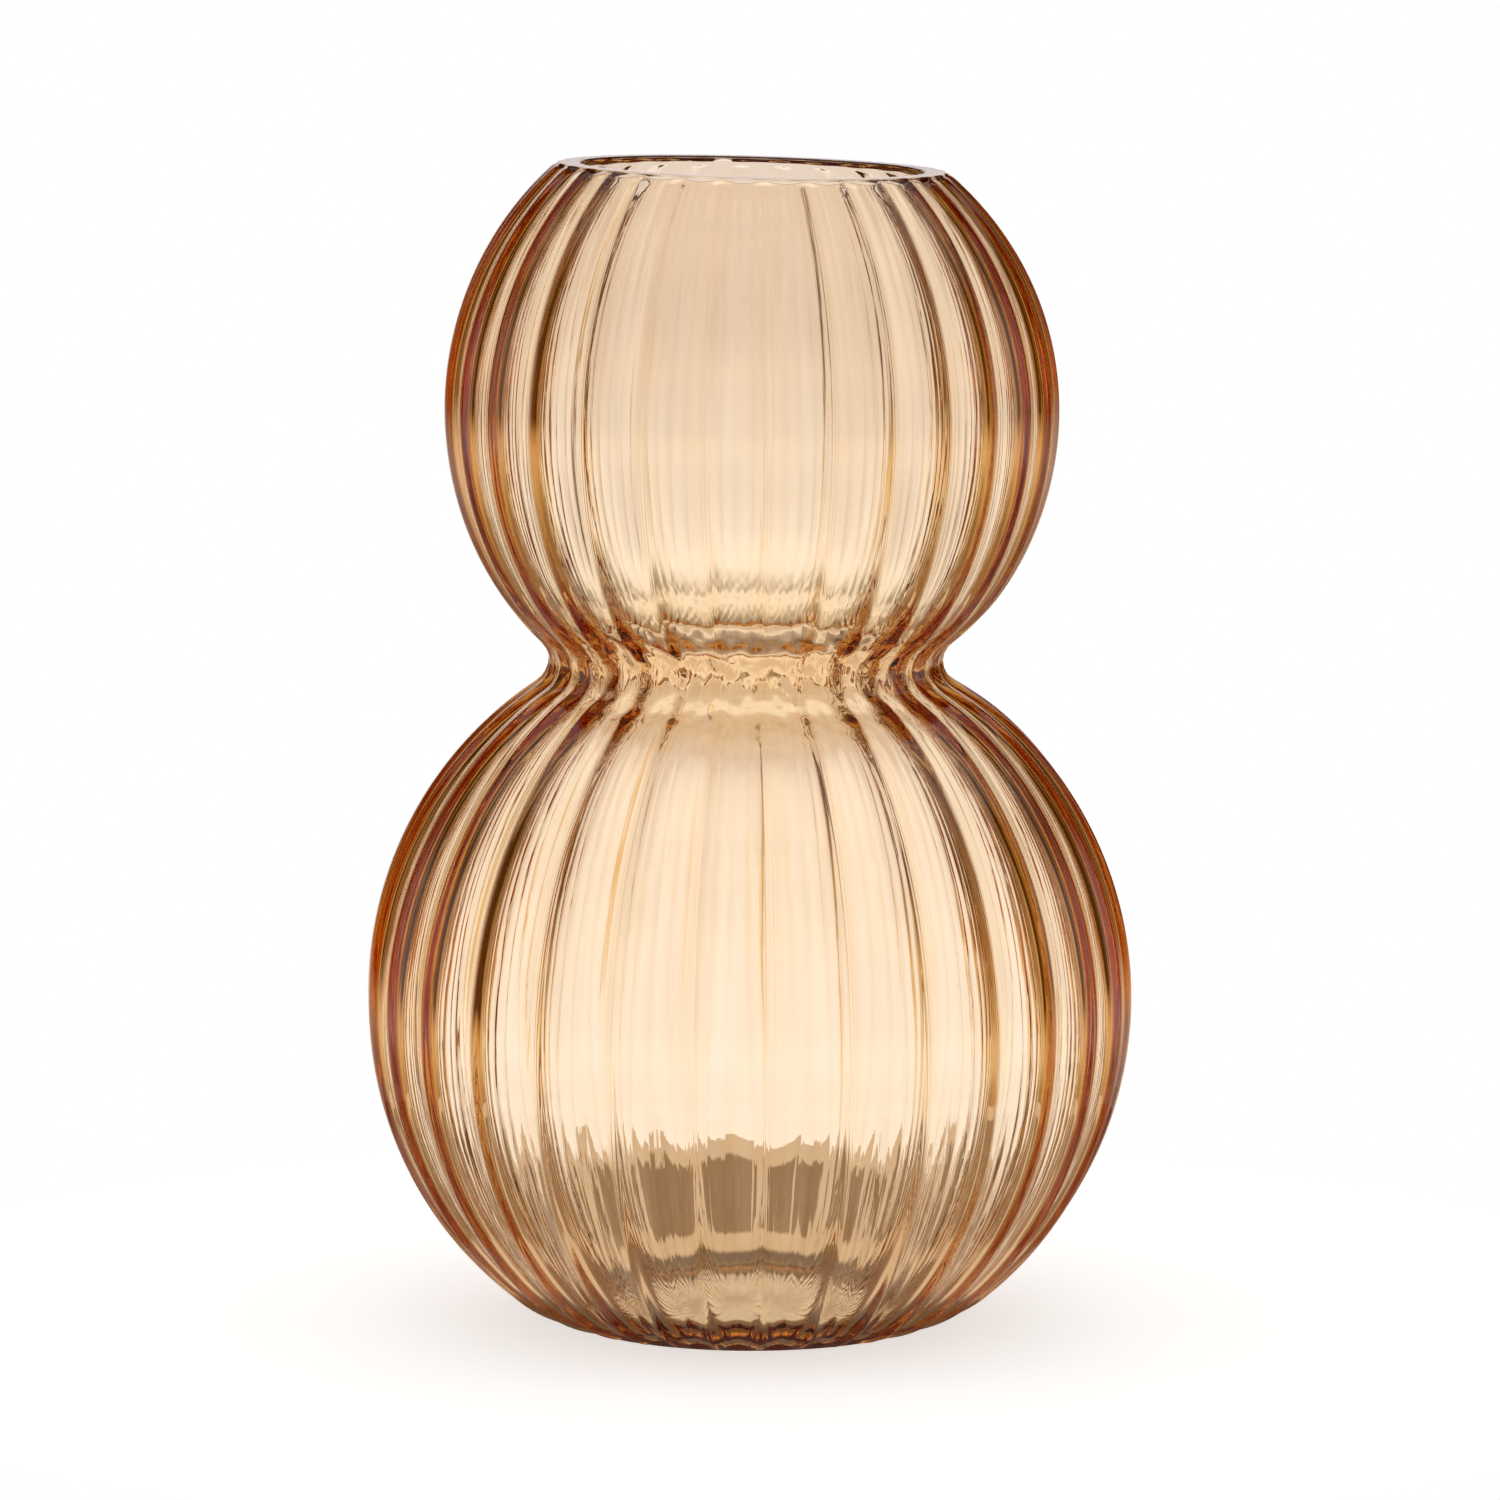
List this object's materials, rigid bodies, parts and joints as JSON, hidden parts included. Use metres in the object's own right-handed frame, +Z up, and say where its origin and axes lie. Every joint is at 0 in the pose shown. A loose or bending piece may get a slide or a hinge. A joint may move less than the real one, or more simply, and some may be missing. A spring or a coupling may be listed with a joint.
{
  "type": "gourd vase",
  "caption": "Ribbed amber glass vase in a gourd shape: a small ball on a larger one, with a pinched waist, a flat-cut open mouth and a thick flat base.",
  "frame": {"origin": "middle of the ground face that the vase stands on", "axes": "+Z up along the vase's axis, towards the mouth; the middle of a flute lies on +X, and a ridge on -Y"},
  "size_m": [0.164, 0.165, 0.249],
  "materials": {
    "amber_glass": "clear honey-amber blown glass, polished, with upright ridges and a cut and polished mouth"
  },
  "bodies": {
    "root": {"base": "amber_glass", "lower_belly": "amber_glass", "lower_shoulder": "amber_glass", "waist": "amber_glass", "upper_belly": "amber_glass", "upper_shoulder": "amber_glass", "rim": "amber_glass"}
  },
  "joints": []
}
